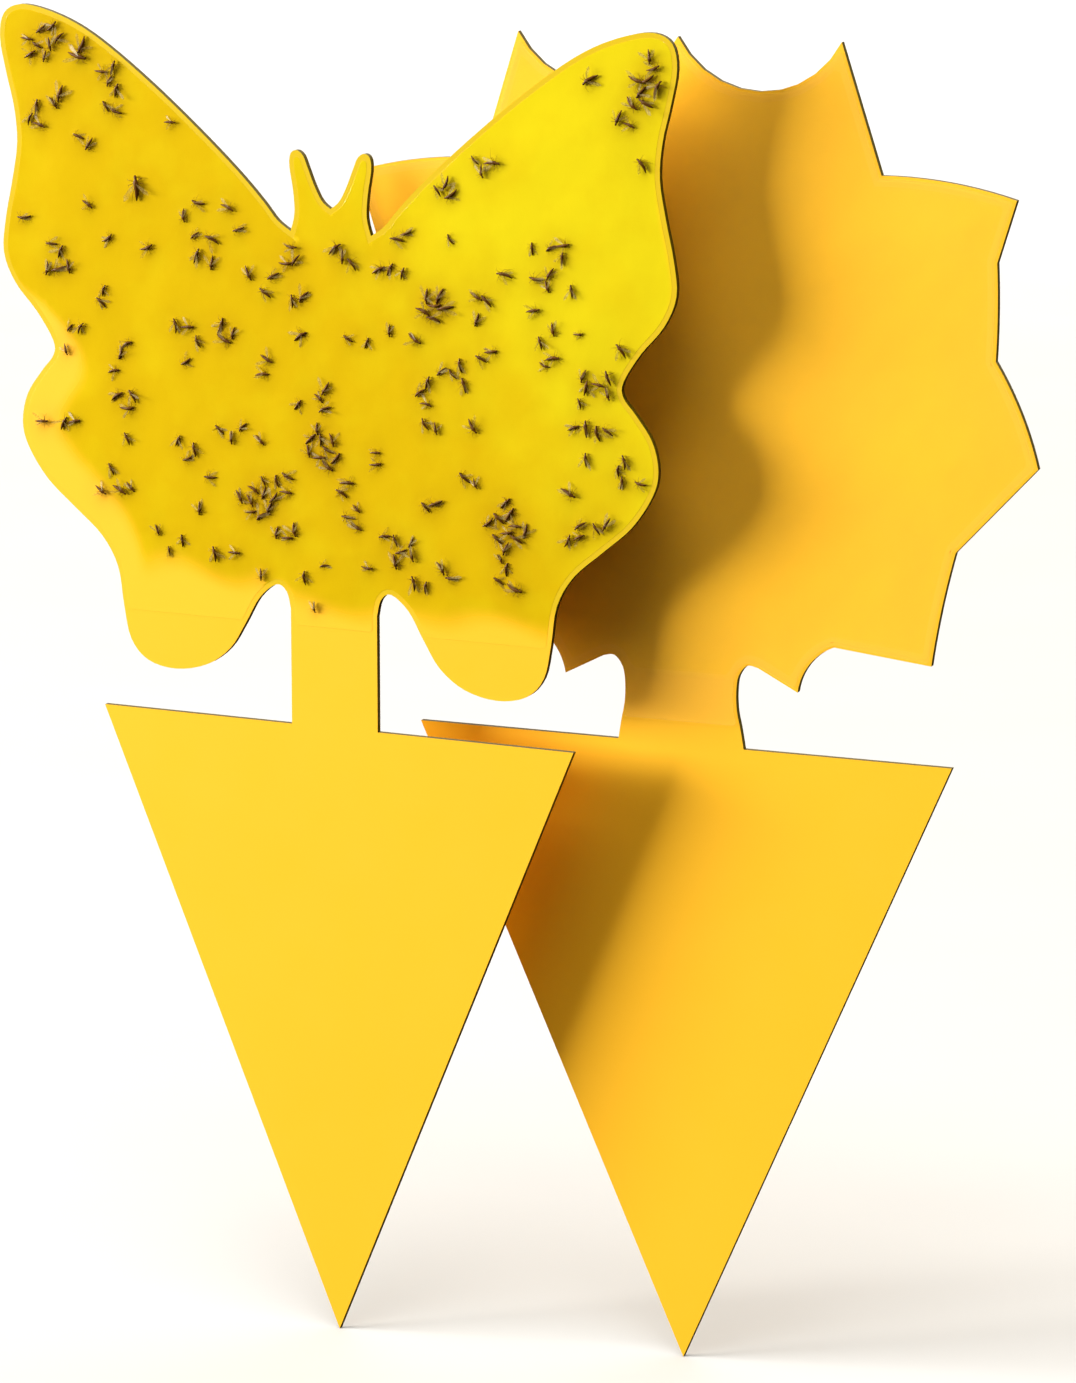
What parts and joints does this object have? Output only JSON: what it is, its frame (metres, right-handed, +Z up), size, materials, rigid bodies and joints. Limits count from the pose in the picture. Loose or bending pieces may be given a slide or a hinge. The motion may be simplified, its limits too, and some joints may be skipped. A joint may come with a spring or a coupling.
{
  "type": "sticky insect trap set",
  "caption": "Flat yellow glue cards on pointed stakes for plant pots, one cut as a butterfly and in use, one cut as a flower with its peel-off films still on.",
  "frame": {"origin": "point of the butterfly card's stake, at the foot of the set", "axes": "+X to the right along the cards' width, +Y behind the cards, +Z up along the butterfly card's height"},
  "size_m": [0.1697, 0.0121, 0.21],
  "materials": {
    "yellow_sheet": "satin",
    "glue": "wet gloss",
    "clear_film": "gloss"
  },
  "bodies": {
    "butterfly_trap": {"butterfly_card": "yellow_sheet", "butterfly_front_glue": "glue", "butterfly_back_glue": "glue"},
    "flower_trap": {"flower_card": "yellow_sheet", "flower_front_glue": "glue", "flower_back_glue": "glue"},
    "front_film": {"flower_front_film": "clear_film"},
    "back_film": {"flower_back_film": "clear_film"}
  },
  "joints": [
    {"name": "flower_pull_out", "type": "slide", "parent": "butterfly_trap", "child": "flower_trap", "axis": [-0.0105, 0, 0.9999], "range_m": [0, 0.11]},
    {"name": "front_film_peel", "type": "slide", "parent": "flower_trap", "child": "front_film", "axis": [-0.0105, 0, 0.9999], "range_m": [0, 0.12]},
    {"name": "back_film_peel", "type": "slide", "parent": "flower_trap", "child": "back_film", "axis": [-0.0105, 0, 0.9999], "range_m": [0, 0.12]}
  ]
}
